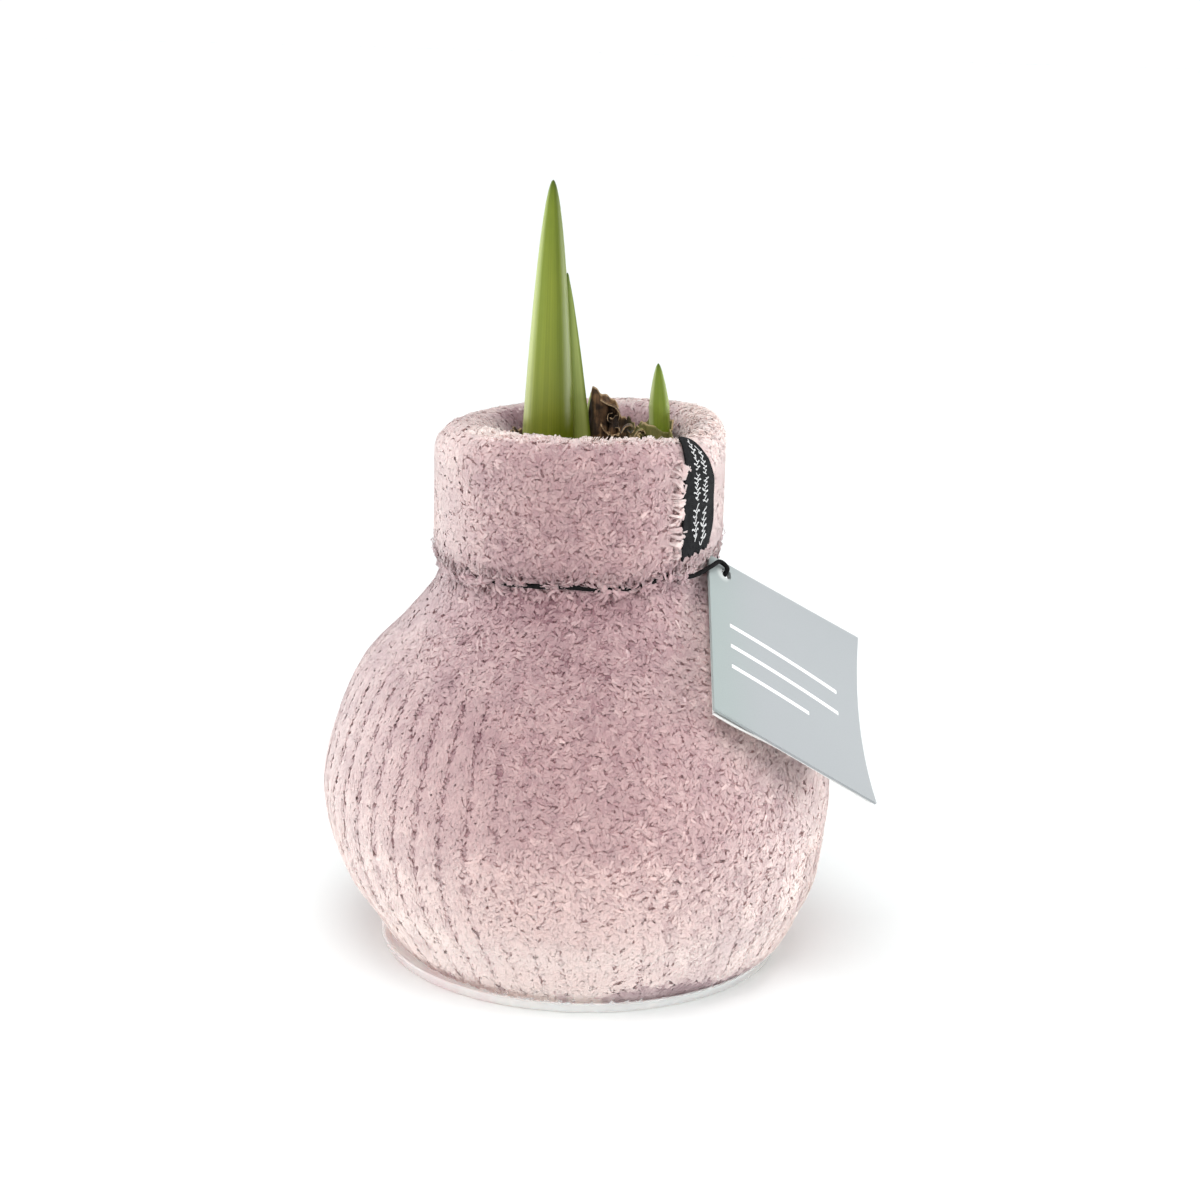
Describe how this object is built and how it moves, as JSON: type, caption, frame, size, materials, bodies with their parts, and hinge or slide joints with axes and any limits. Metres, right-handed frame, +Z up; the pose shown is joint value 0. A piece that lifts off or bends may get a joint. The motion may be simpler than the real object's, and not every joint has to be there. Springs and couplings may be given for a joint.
{
  "type": "amaryllis bulb in knitted cover",
  "caption": "Sprouting amaryllis bulb in a knitted chenille cover with a folded collar, on a clear drip tray, with a woven label and a card tag on a cord.",
  "frame": {"origin": "on the axis of the bulb at the plane that the drip tray stands on, at the tray's flat underside", "axes": "+Z up along the bulb's axis, -Y towards the front, +X towards the side with the tag"},
  "size_m": [0.1162, 0.1098, 0.1645],
  "materials": {
    "clear_plastic": "clear thin moulded plastic, glossy",
    "bulb_skin": "dry brown papery scales, matt",
    "chenille": "dusty pink chenille knit with a short dense pile",
    "leaf": "fleshy green leaf, smooth with a soft sheen",
    "pale_leaf": "pale yellow-green leaf tip, soft sheen",
    "label_cloth": "black woven satin ribbon with pale stitches",
    "card": "pale grey coated card, satin",
    "elastic": "thin black covered elastic"
  },
  "bodies": {
    "root": {"drip_tray": "clear_plastic", "bulb": "bulb_skin", "knit_cover": "chenille", "leaf_front": "leaf", "leaf_back": "leaf", "leaf_short": "pale_leaf", "shoot_small": "leaf", "woven_label": "label_cloth", "hang_tag": "card", "tag_cord": "elastic"}
  },
  "joints": []
}
